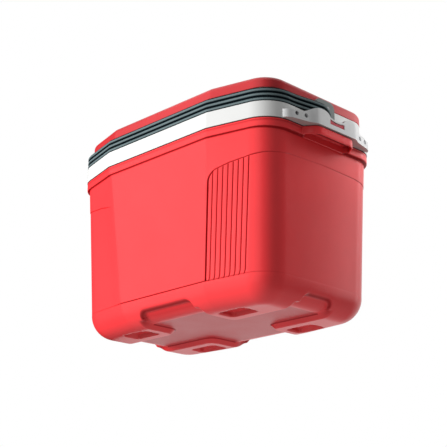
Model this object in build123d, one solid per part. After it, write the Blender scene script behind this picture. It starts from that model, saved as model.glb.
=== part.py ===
"""Insulated carrier: a rigid foam-filled box with a hinged lid, a swinging bail handle and ice packs.

Millimetres. The origin is the centre of the base's footprint. +Z is up, X runs along the long side
and -Y is the front, where the handle lies folded.
"""
from math import atan2, cos, pi, sin, tan
import os

from build123d import *

# Driving dimensions --------------------------------------------------------------------------
# A plan outline is (half length, half width, half flat, corner drop, corner radius).
RIM_PLAN = (240.0, 160.9, 122.2, 29.9, 55.0)
COLLAR_PLAN = (239.4, 160.3, 122.2, 29.9, 54.5)
BODY_TOP_PLAN = (232.8, 157.4, 118.5, 28.0, 51.0)
BODY_FOOT_PLAN = (220.0, 139.3, 96.6, 12.6, 48.0)

BODY_TOP_Z = 274.7
COLLAR_TOP_Z = 289.4
RIM_TOP_Z = 317.3
LID_SEAM_Z = 345.5
LID_TOP_Z = 366.0

SKIN = 3.0
BOTTOM_RADIUS = 40.0
COLLAR_ROUND = 1.5

# Base: four feet around a cross-shaped recess, each foot with a pocket
RECESS_DEPTH = 8.0
RECESS_HALF_X = 63.0
RECESS_HALF_Y = 36.5
RECESS_FLARE = 10.5
RECESS_REACH = 800.0
NOTCH_TOP_Z = 22.0
NOTCH_INSET = 8.0
POCKET_CENTRE = (115.5, 81.0)
POCKET_SIZE = (59.0, 38.0)
POCKET_DEPTH = 8.0
POCKET_ROUND = 10.0

# Inner liner: an open tub
LINER_TOP_PLAN = (205.0, 125.0, 36.0)
LINER_FLOOR_PLAN = (190.0, 110.0, 30.0)
LINER_FLOOR_Z = 48.0
LINER_SKIN = 2.5
LINER_FLOOR_ROUND = 12.0

# Lid
LID_INSET = 10.8
TRAY_INSET = 11.2
LID_BOTTOM_Z = 318.3
LID_TOP_ROUND = 10.0
LID_PANEL_INSET = 34.0
LID_PANEL_DEPTH = 1.6
PLUG_BOTTOM_Z = 298.0
PLUG_GAP = 4.0
GASKET_INSET = 25.0
GASKET_WIDTH = 5.0
GASKET_BURIED = 1.5
GASKET_GAP = 0.2

# Handle: a three-ribbed bail round the front half, with a leg and a pivot boss at each side
HANDLE_THICK = 7.6
HANDLE_BOTTOM_Z = 317.9
HANDLE_TOP_Z = 340.8
HANDLE_CORNER_PIECES = 4
ZONE_REACH = 200.0
RIB_COUNT = 3
RIB_HEIGHT = 6.1
RIB_PROUD = 1.8
FLARE_START_Y = -92.0
INNER_RAMP_Y = (-66.0, -25.0)
ARM_INNER_X = 240.9
ARM_OUTER_X = 247.9
ARM_HALF_WIDTH = 12.0
ARM_BOTTOM_Z = 293.5
PIVOT_Z = 336.0
PIN_RADIUS = 3.0
PIN_CLEARANCE = 0.05
PIN_START_X = 232.6
PIN_END_X = 246.0
EAR_INNER_X = 232.2
EAR_HALF_WIDTH = 23.5
EAR_TOP_Z = 352.4
EAR_ROUND = 12.0

# Side brackets, lock buttons and grips
BRACKET_WALL_X = (259.0, 264.0)
BRACKET_FLOOR = 2.4
BRACKET_FLAT_HALF = 44.0
BRACKET_BAY_HALF = 48.0
HUMP_PEAK = (37.0, 317.5)
SADDLE_HALF = 17.0
SADDLE_Z = (306.2, 309.6)
WING_Z = (291.0, 303.5)
WING_STEP_Y = (58.0, 64.0)
WING_TOP_Y = 84.0
WING_ROOT = (257.0, 64.0)
WING_TIP = (251.5, 90.0)
WING_END_Y = 107.0
WINDOW_HALF = 18.0
WINDOW_Z = (297.5, 306.4)
WINDOW_DIP = 2.6
BUTTON_FIT = 0.35
BUTTON_FLANGE = 1.6
BUTTON_LIP = 2.5
BUTTON_LIP_DROP = 0.6
SCREW_Y = (68.0, 86.0)
SCREW_Z = 299.0
SCREW_RADIUS = 2.0
SCREW_HEAD_RADIUS = 3.6
SCREW_SEAT_DEPTH = 3.4
SCREW_SUNK = 1.2
GRIP_OUTER_X = 261.0
GRIP_FLAT_HALF = 42.0
GRIP_END_HALF = 61.0
GRIP_WALL = 3.0
HOLLOW_WALL_X = 233.2
HOLLOW_HALF = 52.0

# Hinges, on the ledge behind the lid
HINGE_X = 95.0
HINGE_AXIS = (155.6, 324.6)
KNUCKLE_RADIUS = 4.6
HINGE_PIN_RADIUS = 2.0
HINGE_PIN_CLEARANCE = 0.05
KNUCKLE_LENGTH = 14.0
KNUCKLE_GAP = 0.4
LEAF_THICK = 2.0
LEAF_HALF_LENGTH = 31.0
LEAF_PROUD = 0.4
LEAF_SCREW_OFFSET = 25.5
LEAF_SCREW_RADIUS = 1.5
LEAF_SCREW_HEAD = (3.0, 1.4)
LID_SCREW_OFFSET = 17.0
LID_SCREW_Z = 333.5

# Ice packs, the 0.6 litre upright kind
PACK_SIZE = (119.0, 34.0, 190.0)
PACK_PITCH = 120.4
PACK_OUTER_Y = 104.0
PACK_FLOOR_GAP = 0.4
PACK_ROUND = 8.0
CAP_RADIUS = 13.0
CAP_HEIGHT = 10.0
NECK_RADIUS = 9.0

SIDES = {"right": 1, "left": -1}
STANDING = (Align.CENTER, Align.CENTER, Align.MIN)


# Shared shapes -------------------------------------------------------------------------------
def outline(plan, inset=0.0):
    """Flat-fronted outline: facets fall back from the flat middle to rounded corners."""
    half_x, half_y, flat, drop, radius = plan
    side_y = half_y - drop
    points = [
        (flat, -half_y), (half_x, -side_y), (half_x, side_y), (flat, half_y),
        (-flat, half_y), (-half_x, side_y), (-half_x, -side_y), (-flat, -half_y),
    ]
    face = make_face(Polyline(*points, close=True))
    corners = [v for v in face.vertices() if abs(abs(v.X) - half_x) < 0.01]
    face = fillet(corners, radius)
    if inset:
        face = offset(face, amount=-inset, kind=Kind.INTERSECTION)
    return face


def body_plan(z):
    """The body's outline numbers at height z, tapering from the collar to the feet."""
    share = z / BODY_TOP_Z
    return tuple(low + (high - low) * share for low, high in zip(BODY_FOOT_PLAN, BODY_TOP_PLAN))


def prism(face, z_low, z_high):
    """The face extruded from one height to another."""
    return extrude(Pos(0, 0, z_low) * face, z_high - z_low)


def tapered_body(inset, z_low, z_high):
    """The body's tapering volume, inset by a skin and rounded underneath."""
    low = Pos(0, 0, z_low) * outline(body_plan(z_low), inset)
    high = Pos(0, 0, z_high) * outline(body_plan(z_high), inset)
    solid = loft([low, high], ruled=True)
    bottom = solid.edges().filter_by(lambda e: abs(e.center().Z - z_low) < 0.01)
    return fillet(bottom, BOTTOM_RADIUS - inset)


def box_between(low, high):
    """A box given by two opposite corners."""
    size = [b - a for a, b in zip(low, high)]
    return Pos(*low) * Box(*size, align=(Align.MIN, Align.MIN, Align.MIN))


def rounded_rectangle(plan, inset=0.0):
    half_x, half_y, radius = plan
    return RectangleRounded(2 * (half_x - inset), 2 * (half_y - inset), radius - inset)


def rod_x(x_low, x_high, y, z, radius):
    """A round rod along X."""
    length = x_high - x_low
    place = Pos((x_low + x_high) / 2, y, z) * Rot(0, 90, 0)
    return place * Cylinder(radius, length)


def to_side(shape, side):
    """The right-hand shape, or its mirror image on the left."""
    return shape if side > 0 else mirror(shape, Plane.YZ)


def one(shapes):
    """Several separate solids as one group."""
    solids = []
    for shape in shapes:
        solids += shape.solids()
    return Compound(children=solids)


# Base recess ---------------------------------------------------------------------------------
def recess_band(half, along_x, grow):
    """One arm of the cross: a channel with sloping sides, right across the base."""
    mouth = 2 * (half + RECESS_FLARE + grow)
    roof = 2 * (half + grow)
    faces = []
    for width, z in ((mouth, -1.0), (roof, RECESS_DEPTH + grow), (roof, NOTCH_TOP_Z + grow)):
        size = (RECESS_REACH, width) if along_x else (width, RECESS_REACH)
        faces.append(Pos(0, 0, z) * Rectangle(*size))
    return loft(faces[:2], ruled=True) + loft(faces[1:], ruled=True)


def base_hollows(grow=0.0):
    """What is missing from under the body: the cross recess and a pocket in each foot."""
    cross = recess_band(RECESS_HALF_Y, True, grow) + recess_band(RECESS_HALF_X, False, grow)
    floor = tapered_body(NOTCH_INSET + grow, RECESS_DEPTH + grow, BODY_TOP_Z)
    hollows = cross - floor
    size = [length + 2 * grow for length in POCKET_SIZE]
    pocket = RectangleRounded(*size, POCKET_ROUND + grow)
    for side_x in (-1, 1):
        for side_y in (-1, 1):
            place = Pos(side_x * POCKET_CENTRE[0], side_y * POCKET_CENTRE[1], 0)
            hollows += place * prism(pocket, -1.0, POCKET_DEPTH + grow)
    return hollows


# Grip ----------------------------------------------------------------------------------------
def grip_outline(inset=0.0):
    """A lip standing out from the side, with S-shaped ends."""
    root_x = COLLAR_PLAN[0] - 0.4
    outer = GRIP_OUTER_X - inset
    flat = GRIP_FLAT_HALF - inset * 0.4
    end = GRIP_END_HALF - inset * 1.6
    edges = [Line((outer, -flat), (outer, flat)), Line((root_x, end), (root_x, -end))]
    for side in (-1, 1):
        edges.append(Bezier(
            (outer, side * flat), (outer, side * (flat + 11)), (root_x, side * (end - 15)), (root_x, side * end),
        ))
    return make_face(edges)


def finger_hollow(grow=0.0):
    """What is missing behind the grip's lip: room for fingertips, in to the body's wall."""
    z_low, z_high = BODY_TOP_Z - 5, COLLAR_TOP_Z - GRIP_WALL + grow
    behind_lip = prism(grip_outline(GRIP_WALL - grow), z_low, z_high)
    half = HOLLOW_HALF + grow
    return behind_lip + box_between((HOLLOW_WALL_X - grow, -half, z_low), (COLLAR_PLAN[0], half, z_high))


# Body pieces ---------------------------------------------------------------------------------
def shell_cavity():
    collar = prism(outline(COLLAR_PLAN, SKIN), BODY_TOP_Z + SKIN, COLLAR_TOP_Z)
    body = tapered_body(SKIN, SKIN, BODY_TOP_Z + SKIN)
    cavity = body + collar - base_hollows(SKIN)
    for side in SIDES.values():
        cavity -= to_side(finger_hollow(SKIN), side)
    return cavity


def liner_volume(inset, z_floor, z_top, floor_round):
    low = Pos(0, 0, z_floor) * rounded_rectangle(LINER_FLOOR_PLAN, inset)
    high = Pos(0, 0, z_top) * rounded_rectangle(LINER_TOP_PLAN, inset)
    solid = loft([low, high], ruled=True)
    bottom = solid.edges().filter_by(lambda e: abs(e.center().Z - z_floor) < 0.01)
    return fillet(bottom, floor_round)


def make_shell(cavity):
    body = tapered_body(0, 0, BODY_TOP_Z)
    collar = prism(outline(COLLAR_PLAN), BODY_TOP_Z, COLLAR_TOP_Z)
    lower_lip = collar.edges().filter_by(lambda e: abs(e.center().Z - BODY_TOP_Z) < 0.01)
    collar = fillet(lower_lip, COLLAR_ROUND)
    solid = body + collar - base_hollows()
    lip = prism(grip_outline(), BODY_TOP_Z, COLLAR_TOP_Z - 0.2)
    for side in SIDES.values():
        solid += to_side(lip, side)
        solid -= to_side(finger_hollow(), side)
    return solid - cavity


def make_rim(rim_cavity, liner_outside):
    ring = prism(outline(RIM_PLAN), COLLAR_TOP_Z, RIM_TOP_Z)
    top_lip = ring.edges().filter_by(lambda e: abs(e.center().Z - RIM_TOP_Z) < 0.01)
    ring = fillet(top_lip, COLLAR_ROUND)
    rim = ring - rim_cavity - liner_outside
    for side in SIDES.values():
        rim += to_side(ear(), side)
    for screw in all_bracket_screws() + all_hinge_screws(leaf_screws):
        rim -= screw
    return rim


def ear():
    """A broad ear with rounded shoulders on the rim's ledge: it carries the handle's pivot pin."""
    x_low, x_high = EAR_INNER_X, RIM_PLAN[0]
    half, shoulder = EAR_HALF_WIDTH, EAR_TOP_Z - EAR_ROUND
    plate = box_between((x_low, -half, RIM_TOP_Z - SKIN), (x_high, half, shoulder))
    plate += box_between((x_low, EAR_ROUND - half, shoulder), (x_high, half - EAR_ROUND, EAR_TOP_Z))
    for side in (-1, 1):
        plate += rod_x(x_low, x_high, side * (half - EAR_ROUND), shoulder, EAR_ROUND)
    return plate - rod_x(x_low - 1, x_high + 1, 0, PIVOT_Z, PIN_RADIUS)


# Side bracket --------------------------------------------------------------------------------
def bracket_profile():
    """The bracket seen from the side: two humps, a dipping saddle between them and long wings."""
    hump_y, hump_z = HUMP_PEAK
    wing_low, wing_high = WING_Z
    dip_z, saddle_z = SADDLE_Z
    step_in, step_out = WING_STEP_Y
    edges = [
        ThreePointArc((-SADDLE_HALF, saddle_z), (0, dip_z), (SADDLE_HALF, saddle_z)),
        Line((-step_in, COLLAR_TOP_Z), (step_in, COLLAR_TOP_Z)),
    ]
    for side in (-1, 1):
        edges += [
            Bezier(
                (side * SADDLE_HALF, saddle_z), (side * (SADDLE_HALF + 4), hump_z - 1),
                (side * (hump_y - 10), hump_z), (side * hump_y, hump_z),
            ),
            Bezier(
                (side * hump_y, hump_z), (side * (hump_y + 23), hump_z),
                (side * (WING_TOP_Y - 18), wing_high), (side * WING_TOP_Y, wing_high),
            ),
            Line((side * WING_TOP_Y, wing_high), (side * (WING_END_Y + 1), wing_high)),
            Line((side * (WING_END_Y + 1), wing_high), (side * (WING_END_Y + 1), wing_low)),
            Line((side * (WING_END_Y + 1), wing_low), (side * step_out, wing_low)),
            Line((side * step_out, wing_low), (side * step_in, COLLAR_TOP_Z)),
        ]
    return make_face(edges)


def bracket_plan():
    """The bracket seen from above: bowed out over the middle, with wings closing on the rim."""
    inner, outer = RIM_PLAN[0], BRACKET_WALL_X[1]
    flat = BRACKET_FLAT_HALF
    (root_x, root_y), (tip_x, tip_y) = WING_ROOT, WING_TIP
    lean = (tip_x - root_x) / (tip_y - root_y)
    edges = [
        Line((outer, -flat), (outer, flat)),
        Line((inner, -WING_END_Y), (inner, WING_END_Y)),
    ]
    for side in (-1, 1):
        edges += [
            Bezier(
                (outer, side * flat), (outer, side * (flat + 9)),
                (root_x - 9 * lean, side * (root_y - 9)), (root_x, side * root_y),
            ),
            Line((root_x, side * root_y), (tip_x, side * tip_y)),
            Bezier(
                (tip_x, side * tip_y), (tip_x + 11 * lean, side * (tip_y + 11)),
                (inner + 6, side * WING_END_Y), (inner, side * WING_END_Y),
            ),
        ]
    return make_face(edges)


def window_face(fit=0.0):
    """The window for the lock button, its upper edge dipping like the saddle above it."""
    half = WINDOW_HALF - fit
    z_low, z_high = WINDOW_Z[0] + fit, WINDOW_Z[1] - fit
    return make_face([
        ThreePointArc((-half, z_high), (0, z_high - WINDOW_DIP), (half, z_high)),
        Polyline((half, z_high), (half, z_low), (-half, z_low), (-half, z_high)),
    ])


def along_x(face, x_low, x_high):
    """A face drawn in Y and Z, extruded along X."""
    return extrude(Pos(x_low, 0, 0) * (Plane.YZ * face), x_high - x_low)


def make_bracket():
    block = along_x(bracket_profile(), RIM_PLAN[0] - 1, RIM_PLAN[0] + 30)
    block &= prism(bracket_plan(), COLLAR_TOP_Z, HUMP_PEAK[1] + 1)
    wall_x = BRACKET_WALL_X[0]
    bay_floor = COLLAR_TOP_Z + BRACKET_FLOOR
    bay = box_between((200, -BRACKET_BAY_HALF, bay_floor), (wall_x, BRACKET_BAY_HALF, 400))
    top = box_between((200, -200, RIM_TOP_Z - 0.8), (wall_x, 200, 400))
    bracket = block - bay - top - along_x(window_face(), wall_x - 1, wall_x + 10)
    for y in SCREW_Y:
        for side in (-1, 1):
            bracket -= rod_x(230, 270, side * y, SCREW_Z, SCREW_RADIUS)
            bracket -= rod_x(screw_seat_x(y), 270, side * y, SCREW_Z, SCREW_HEAD_RADIUS)
    return bracket


def screw_seat_x(y):
    """Where a bracket screw's head seats, a little under the wing's sloping face."""
    (root_x, root_y), (tip_x, tip_y) = WING_ROOT, WING_TIP
    lean = (tip_x - root_x) / (tip_y - root_y)
    return root_x + lean * (abs(y) - root_y) - SCREW_SEAT_DEPTH


def bracket_screw(y):
    seat = screw_seat_x(y)
    crown = seat + SCREW_SEAT_DEPTH - SCREW_SUNK
    head = rod_x(seat, crown, y, SCREW_Z, SCREW_HEAD_RADIUS - 0.1)
    shank = rod_x(RIM_PLAN[0] - SKIN, seat, y, SCREW_Z, SCREW_RADIUS)
    slot = Pos(crown, y, SCREW_Z)
    head -= slot * Box(1.6, 4.4, 1.0)
    head -= slot * Box(1.6, 1.0, 4.4)
    return head + shank


def all_bracket_screws():
    screws = []
    for side in SIDES.values():
        for y in SCREW_Y:
            screws += [to_side(bracket_screw(y), side), to_side(bracket_screw(-y), side)]
    return screws


def make_button():
    """A push button filling the bracket's window, kept in by a flange behind the wall."""
    wall_in, wall_out = BRACKET_WALL_X
    back = wall_in - 0.3
    front = wall_out - 0.8
    face = along_x(window_face(BUTTON_FIT), back - BUTTON_FLANGE, front)
    face = fillet(face.edges().filter_by(lambda e: abs(e.center().X - front) < 0.01), 0.8)
    half = WINDOW_HALF - BUTTON_FIT + BUTTON_LIP
    z_low, z_high = WINDOW_Z[0] - BUTTON_LIP, SADDLE_Z[0] - BUTTON_LIP_DROP
    flange = box_between((back - BUTTON_FLANGE, -half, z_low), (back, half, z_high))
    return face + flange


# Handle --------------------------------------------------------------------------------------
def bail_band(inset_out, inset_in, z_low, z_high):
    """The band round the front half, between two insets of the rim's outline."""
    ring = outline(RIM_PLAN, inset_out) - outline(RIM_PLAN, inset_in)
    front = ring & Pos(0, -200 + FLARE_START_Y) * Rectangle(600, 400)
    return prism(front, z_low, z_high)


def arm_plan(extra=0.0):
    """The arm from above: the band flaring outwards until it clears the ear."""
    half_x = RIM_PLAN[0]
    start_in = half_x - HANDLE_THICK
    outer = Bezier(
        (half_x - extra, FLARE_START_Y), (half_x - extra, -55),
        (ARM_OUTER_X - extra, -42), (ARM_OUTER_X - extra, -6),
    )
    end = Line((ARM_OUTER_X - extra, -6), (ARM_INNER_X, -6))
    back = Line((ARM_INNER_X, -6), (ARM_INNER_X, INNER_RAMP_Y[1]))
    ramp = Bezier(
        (ARM_INNER_X, INNER_RAMP_Y[1]), (ARM_INNER_X, INNER_RAMP_Y[1] - 14),
        (start_in, INNER_RAMP_Y[0] + 14), (start_in, INNER_RAMP_Y[0]),
    )
    side = Line((start_in, INNER_RAMP_Y[0]), (start_in, FLARE_START_Y))
    close = Line((start_in, FLARE_START_Y), (half_x - extra, FLARE_START_Y))
    return make_face([outer, end, back, ramp, side, close])


def arm_leg():
    """The end of the arm: a plate turning down past the pivot into the bracket."""
    x_low, x_high = ARM_INNER_X, ARM_OUTER_X
    half = ARM_HALF_WIDTH
    leg = box_between((x_low, -half, ARM_BOTTOM_Z + half), (x_high, half, HANDLE_TOP_Z - half))
    shoulder = rod_x(x_low, x_high, 0, HANDLE_TOP_Z - half, half)
    toe = rod_x(x_low, x_high, 0, ARM_BOTTOM_Z + half, half)
    square = box_between((x_low, -half, HANDLE_BOTTOM_Z), (x_high, 0, HANDLE_TOP_Z))
    return leg + shoulder + toe + square


def rib_levels():
    pitch = (HANDLE_TOP_Z - HANDLE_BOTTOM_Z - RIB_HEIGHT) / (RIB_COUNT - 1)
    return [HANDLE_BOTTOM_Z + pitch * i for i in range(RIB_COUNT)]


def make_bail():
    bar = bail_band(RIB_PROUD, HANDLE_THICK, HANDLE_BOTTOM_Z, HANDLE_TOP_Z)
    arm = prism(arm_plan(RIB_PROUD), HANDLE_BOTTOM_Z, HANDLE_TOP_Z)
    for z in rib_levels():
        bar += bail_band(0, HANDLE_THICK, z, z + RIB_HEIGHT)
        arm += prism(arm_plan(), z, z + RIB_HEIGHT)
    arm += arm_leg()
    arm -= rod_x(ARM_INNER_X - 5, PIN_END_X + 0.4, 0, PIVOT_Z, PIN_RADIUS + PIN_CLEARANCE)
    for side in SIDES.values():
        bar += to_side(arm, side)
    return bar


def corner_geometry():
    """Centre of the rim's front right corner, and the angle of the facet's normal there."""
    half_x, half_y, flat, drop, radius = RIM_PLAN
    facet = atan2(drop, half_x - flat)
    tangent = radius * tan((pi / 2 - facet) / 2)
    return (half_x - radius, -half_y + drop + tangent), facet - pi / 2


def handle_zones():
    """Plan zones that part the moulded bail into convex lengths for the right-hand side."""
    centre, start = corner_geometry()
    flat = RIM_PLAN[2]

    def spoke(share):
        angle = start * (1 - share)
        return centre[0] + ZONE_REACH * cos(angle), centre[1] + ZONE_REACH * sin(angle)

    zones = {"facet": [(flat, -ZONE_REACH), (flat, centre[1]), centre, spoke(0)]}
    for number in range(HANDLE_CORNER_PIECES):
        ends = [number / HANDLE_CORNER_PIECES, (number + 1) / HANDLE_CORNER_PIECES]
        zones[f"corner_{number + 1}"] = [centre, spoke(ends[0]), spoke(ends[1])]
    low_x, low_y = centre
    far = ZONE_REACH
    zones["arm"] = [(low_x, low_y), (low_x + far, low_y), (low_x + far, far), (low_x, far)]
    return zones


def handle_pieces():
    """The bail's lengths by name: the front bar, then facet, corners and arm on each side."""
    bail = make_bail()
    flat = RIM_PLAN[2]
    pieces = {"handle_bar": bail & box_between((-flat, -300, 0), (flat, 0, 500))}
    for name, points in handle_zones().items():
        zone = prism(make_face(Polyline(*points, close=True)), 0, 500)
        length = bail & zone
        for side_name, side in SIDES.items():
            pieces[f"handle_{name}_{side_name}"] = to_side(length, side)
    return pieces


# Lid -----------------------------------------------------------------------------------------
def plug_outline(inset=0.0):
    return rounded_rectangle(LINER_TOP_PLAN, LINER_SKIN + PLUG_GAP + inset)


def lid_cavity():
    """The foam's space inside the lid, in its tray, its plug and its cap."""
    inner = outline(RIM_PLAN, LID_INSET + SKIN)
    cap_top = LID_TOP_Z - SKIN - LID_PANEL_DEPTH
    upper = prism(inner, LID_BOTTOM_Z + SKIN, cap_top)
    rim = upper.edges().filter_by(lambda e: abs(e.center().Z - cap_top) < 0.01)
    upper = fillet(rim, LID_TOP_ROUND - SKIN)
    return upper + prism(plug_outline(SKIN), PLUG_BOTTOM_Z + SKIN, LID_BOTTOM_Z + SKIN)


def gasket_ring():
    outer = outline(RIM_PLAN, GASKET_INSET)
    ring = outer - outline(RIM_PLAN, GASKET_INSET + GASKET_WIDTH)
    return prism(ring, RIM_TOP_Z + GASKET_GAP, LID_BOTTOM_Z + GASKET_BURIED)


def make_lid_tray(cavity):
    tray = prism(outline(RIM_PLAN, TRAY_INSET), LID_BOTTOM_Z, LID_SEAM_Z)
    tray += prism(plug_outline(), PLUG_BOTTOM_Z, LID_BOTTOM_Z)
    tray = tray - cavity - gasket_ring()
    for side in SIDES.values():
        tray -= lid_leaf_plate(side * HINGE_X)
    for screw in all_hinge_screws(lid_screws):
        tray -= screw
    return tray


def make_lid_cap(cavity):
    cap = prism(outline(RIM_PLAN, LID_INSET), LID_SEAM_Z, LID_TOP_Z)
    rim = cap.edges().filter_by(lambda e: abs(e.center().Z - LID_TOP_Z) < 0.01)
    cap = fillet(rim, LID_TOP_ROUND)
    panel = prism(outline(RIM_PLAN, LID_PANEL_INSET), LID_TOP_Z - LID_PANEL_DEPTH, LID_TOP_Z + 1)
    return cap - cavity - panel


# Hinges --------------------------------------------------------------------------------------
def knuckle(x_centre, length):
    y, z = HINGE_AXIS
    bore = HINGE_PIN_RADIUS + HINGE_PIN_CLEARANCE
    half = length / 2
    ring = rod_x(x_centre - half, x_centre + half, y, z, KNUCKLE_RADIUS)
    return ring - rod_x(x_centre - half - 1, x_centre + half + 1, y, z, bore)


def body_leaf(x):
    """The hinge leaf on the rim's ledge, with two knuckles."""
    y, z = HINGE_AXIS
    x_low, x_high = x - LEAF_HALF_LENGTH, x + LEAF_HALF_LENGTH
    y_low, y_high = y - KNUCKLE_RADIUS + 0.2, RIM_PLAN[1] - COLLAR_ROUND
    leaf = box_between((x_low, y_low, RIM_TOP_Z), (x_high, y_high, RIM_TOP_Z + LEAF_THICK))
    for side in (-1, 1):
        centre = x + side * (KNUCKLE_LENGTH + KNUCKLE_GAP)
        half = KNUCKLE_LENGTH / 2
        web = box_between(
            (centre - half, y - KNUCKLE_RADIUS + 1.2, RIM_TOP_Z), (centre + half, y + KNUCKLE_RADIUS, z)
        )
        web -= rod_x(centre - half - 1, centre + half + 1, y, z, KNUCKLE_RADIUS - 0.5)
        leaf += web
        leaf += knuckle(centre, KNUCKLE_LENGTH)
    for screw in leaf_screws(x):
        leaf -= screw
    return leaf


def leaf_screws(x):
    """Pan-head screws through the body leaf, beside its knuckles."""
    screws = []
    for side in (-1, 1):
        place = Pos(x + side * LEAF_SCREW_OFFSET, HINGE_AXIS[0], RIM_TOP_Z + LEAF_THICK)
        screws.append(place * pan_screw(SKIN + LEAF_THICK))
    return screws


def pan_screw(reach):
    """A small screw standing on z = 0, its shank reaching down."""
    head = Cylinder(LEAF_SCREW_HEAD[0], LEAF_SCREW_HEAD[1], align=STANDING)
    return head + Pos(0, 0, -reach) * Cylinder(LEAF_SCREW_RADIUS, reach, align=STANDING)


def lid_leaf_plate(x):
    y_out = RIM_PLAN[1] - LID_INSET
    z_low, z_high = LID_BOTTOM_Z + 1.5, LID_SEAM_Z - 1.5
    half = LEAF_HALF_LENGTH - 4
    y_high = y_out + LEAF_PROUD
    return box_between((x - half, y_high - LEAF_THICK, z_low), (x + half, y_high, z_high))


def lid_leaf(x):
    """The hinge leaf let into the back of the lid's tray, with the middle knuckle."""
    y, z = HINGE_AXIS
    half = KNUCKLE_LENGTH / 2
    y_out = RIM_PLAN[1] - LID_INSET
    arm = box_between((x - half, y_out - 1, z - KNUCKLE_RADIUS), (x + half, y, z + KNUCKLE_RADIUS))
    arm -= rod_x(x - half - 1, x + half + 1, y, z, KNUCKLE_RADIUS - 0.5)
    leaf = lid_leaf_plate(x) + arm + knuckle(x, KNUCKLE_LENGTH)
    for screw in lid_screws(x):
        leaf -= screw
    return leaf


def lid_screws(x):
    """Screws through the lid leaf, either side of its knuckle."""
    screws = []
    y_face = RIM_PLAN[1] - LID_INSET + LEAF_PROUD
    for side in (-1, 1):
        place = Pos(x + side * LID_SCREW_OFFSET, y_face, LID_SCREW_Z) * Rot(-90, 0, 0)
        screws.append(place * pan_screw(SKIN + LEAF_PROUD))
    return screws


def all_hinge_screws(make_screws):
    return [screw for side in SIDES.values() for screw in make_screws(side * HINGE_X)]


def hinge_pin(x):
    reach = 1.5 * KNUCKLE_LENGTH + KNUCKLE_GAP + 0.8
    return rod_x(x - reach, x + reach, *HINGE_AXIS, HINGE_PIN_RADIUS)


# Ice packs -----------------------------------------------------------------------------------
def ice_pack(x, side):
    width, depth, height = PACK_SIZE
    y = side * (PACK_OUTER_Y - depth / 2)
    z = LINER_FLOOR_Z + PACK_FLOOR_GAP
    place = Pos(x, y, z)
    block = place * Box(width, depth, height, align=STANDING)
    block = fillet(block.edges(), PACK_ROUND)
    neck = place * Pos(width / 2 - 30, 0, height - 1)
    return block + neck * Cylinder(NECK_RADIUS, 4, align=STANDING)


def ice_pack_cap(x, side):
    width, depth, height = PACK_SIZE
    y = side * (PACK_OUTER_Y - depth / 2)
    z = LINER_FLOOR_Z + PACK_FLOOR_GAP + height + 3
    place = Pos(x + width / 2 - 30, y, z)
    cap = Cylinder(CAP_RADIUS, CAP_HEIGHT, align=STANDING)
    return place * chamfer(cap.edges().filter_by(GeomType.CIRCLE), 1.0)


def pack_places():
    return [(column * PACK_PITCH, side) for side in (-1, 1) for column in (-1, 0, 1)]


# Assembly ------------------------------------------------------------------------------------
def build():
    cavity = shell_cavity()
    rim_cavity = prism(outline(RIM_PLAN, SKIN), COLLAR_TOP_Z, RIM_TOP_Z - SKIN)
    floor_z = LINER_FLOOR_Z - LINER_SKIN
    round_out = LINER_FLOOR_ROUND + LINER_SKIN
    liner_outside = liner_volume(-LINER_SKIN, floor_z, RIM_TOP_Z, round_out)
    liner_inside = liner_volume(0, LINER_FLOOR_Z, RIM_TOP_Z, LINER_FLOOR_ROUND)
    lid_space = lid_cavity()
    parts = {
        "outer_shell": make_shell(cavity),
        "body_insulation": cavity + rim_cavity - liner_outside,
        "inner_liner": liner_outside - liner_inside,
        "rim_frame": make_rim(rim_cavity, liner_outside),
        "lid_cap": make_lid_cap(lid_space),
        "lid_tray": make_lid_tray(lid_space),
        "lid_insulation": lid_space,
        "lid_gasket": gasket_ring(),
        "bracket_screws": one(all_bracket_screws()),
    }
    parts.update(handle_pieces())
    for name, side in SIDES.items():
        parts[f"side_bracket_{name}"] = to_side(make_bracket(), side)
        parts[f"lock_button_{name}"] = to_side(make_button(), side)
        pin = rod_x(PIN_START_X, PIN_END_X, 0, PIVOT_Z, PIN_RADIUS)
        parts[f"handle_pin_{name}"] = to_side(pin, side)
        x = side * HINGE_X
        parts[f"hinge_body_leaf_{name}"] = body_leaf(x)
        parts[f"hinge_lid_leaf_{name}"] = lid_leaf(x)
        parts[f"hinge_pin_{name}"] = hinge_pin(x)
    parts["hinge_body_screws"] = one(all_hinge_screws(leaf_screws))
    parts["hinge_lid_screws"] = one(all_hinge_screws(lid_screws))
    for number, place in enumerate(pack_places(), start=1):
        parts[f"ice_pack_{number}"] = ice_pack(*place)
    parts["ice_pack_caps"] = one(ice_pack_cap(*place) for place in pack_places())
    return parts


os.makedirs("parts", exist_ok=True)
for node, shape in build().items():
    export_step(shape, f"parts/{node}.step")
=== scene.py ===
"""Insulated carrier: the visual model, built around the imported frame.

Geometry is worked out in millimetres and scaled to metres when a mesh is made.
"""
import math

import bpy
import bmesh
import numpy as np
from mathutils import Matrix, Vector


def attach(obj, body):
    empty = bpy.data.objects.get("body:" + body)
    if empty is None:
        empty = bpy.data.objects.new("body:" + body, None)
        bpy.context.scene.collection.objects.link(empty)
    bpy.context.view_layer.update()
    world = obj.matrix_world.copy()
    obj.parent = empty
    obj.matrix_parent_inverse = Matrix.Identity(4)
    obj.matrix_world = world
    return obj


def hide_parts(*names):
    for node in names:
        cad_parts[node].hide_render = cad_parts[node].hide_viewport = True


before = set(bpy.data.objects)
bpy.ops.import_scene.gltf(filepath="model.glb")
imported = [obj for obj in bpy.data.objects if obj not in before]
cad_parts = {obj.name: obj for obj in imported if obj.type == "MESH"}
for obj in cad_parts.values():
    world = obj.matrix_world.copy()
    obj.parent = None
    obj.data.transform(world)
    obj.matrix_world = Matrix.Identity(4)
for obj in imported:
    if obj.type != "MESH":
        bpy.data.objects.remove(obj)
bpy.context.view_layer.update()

MM = 0.001

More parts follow.
